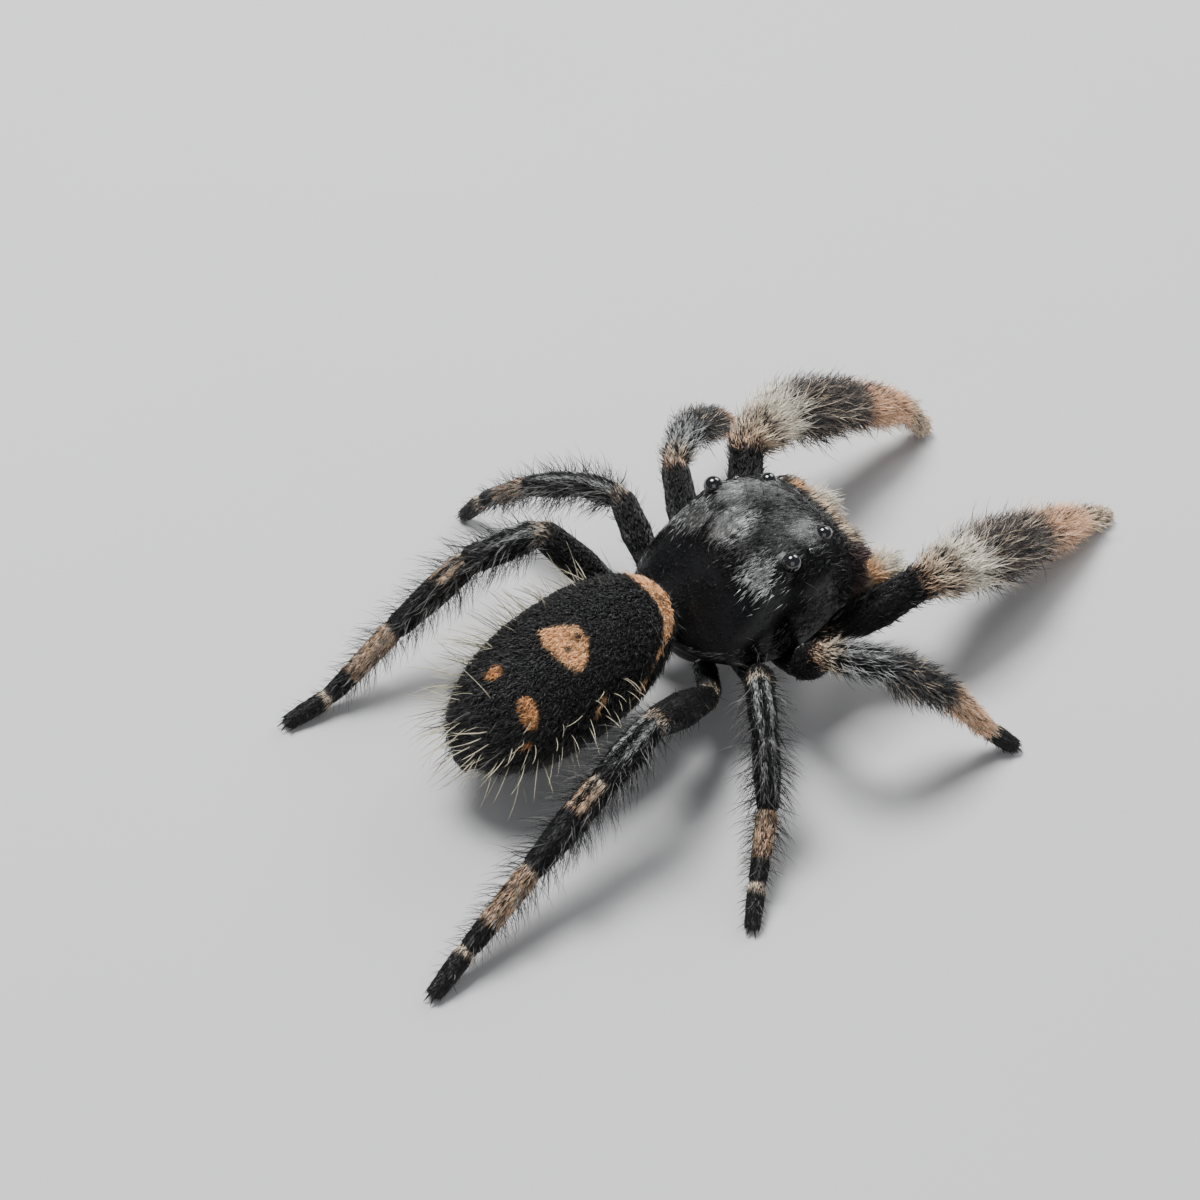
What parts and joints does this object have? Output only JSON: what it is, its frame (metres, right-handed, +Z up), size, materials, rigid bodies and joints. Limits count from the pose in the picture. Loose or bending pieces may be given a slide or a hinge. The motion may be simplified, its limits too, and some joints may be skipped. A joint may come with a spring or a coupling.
{
  "type": "regal jumping spider",
  "caption": "Life-size still regal jumping spider standing on all its feet, long fringed front legs reaching forward, black with orange-peach abdomen patches and pale leg bands.",
  "frame": {"origin": "on the floor under the middle of the spider's outline, at the level of its soles", "axes": "+Z up, the spider faces -Y, its left side is +X"},
  "size_m": [0.0158, 0.0238, 0.0049],
  "materials": {
    "carapace_shell": "glossy black shell under short silvery hairs",
    "under_shell": "dark brown-black shell, satin",
    "jaw_shell": "dark violet-brown shell with a faint metallic sheen",
    "abdomen_coat": "black velvet of short hairs with orange-peach patches and long cream bristles",
    "leg_coat": "black hairy shell with silver-grey streaks, peach bands and white fringes",
    "eye_lens": "polished black lens"
  },
  "bodies": {
    "root": {"abdomen": "abdomen_coat", "carapace": "carapace_shell", "chelicera_left": "jaw_shell", "chelicera_right": "jaw_shell", "eye_front_middle_left": "eye_lens", "eye_front_middle_right": "eye_lens", "eye_front_side_left": "eye_lens", "eye_front_side_right": "eye_lens", "eye_middle_small_left": "eye_lens", "eye_middle_small_right": "eye_lens", "eye_rear_left": "eye_lens", "eye_rear_right": "eye_lens", "fang_left": "jaw_shell", "fang_right": "jaw_shell", "leg_1_left_coxa": "leg_coat", "leg_1_left_femur": "leg_coat", "leg_1_left_metatarsus_tarsus": "leg_coat", "leg_1_left_patella_tibia": "leg_coat", "leg_1_right_coxa": "leg_coat", "leg_1_right_femur": "leg_coat", "leg_1_right_metatarsus_tarsus": "leg_coat", "leg_1_right_patella_tibia": "leg_coat", "leg_2_left_coxa": "leg_coat", "leg_2_left_femur": "leg_coat", "leg_2_left_metatarsus_tarsus": "leg_coat", "leg_2_left_patella_tibia": "leg_coat", "leg_2_right_coxa": "leg_coat", "leg_2_right_femur": "leg_coat", "leg_2_right_metatarsus_tarsus": "leg_coat", "leg_2_right_patella_tibia": "leg_coat", "leg_3_left_coxa": "leg_coat", "leg_3_left_femur": "leg_coat", "leg_3_left_metatarsus_tarsus": "leg_coat", "leg_3_left_patella_tibia": "leg_coat", "leg_3_right_coxa": "leg_coat", "leg_3_right_femur": "leg_coat", "leg_3_right_metatarsus_tarsus": "leg_coat", "leg_3_right_patella_tibia": "leg_coat", "leg_4_left_coxa": "leg_coat", "leg_4_left_femur": "leg_coat", "leg_4_left_metatarsus_tarsus": "leg_coat", "leg_4_left_patella_tibia": "leg_coat", "leg_4_right_coxa": "leg_coat", "leg_4_right_femur": "leg_coat", "leg_4_right_metatarsus_tarsus": "leg_coat", "leg_4_right_patella_tibia": "leg_coat", "mouthparts": "under_shell", "palp_left": "leg_coat", "palp_right": "leg_coat", "pedicel": "under_shell", "spinnerets": "abdomen_coat", "sternum": "under_shell"}
  },
  "joints": []
}
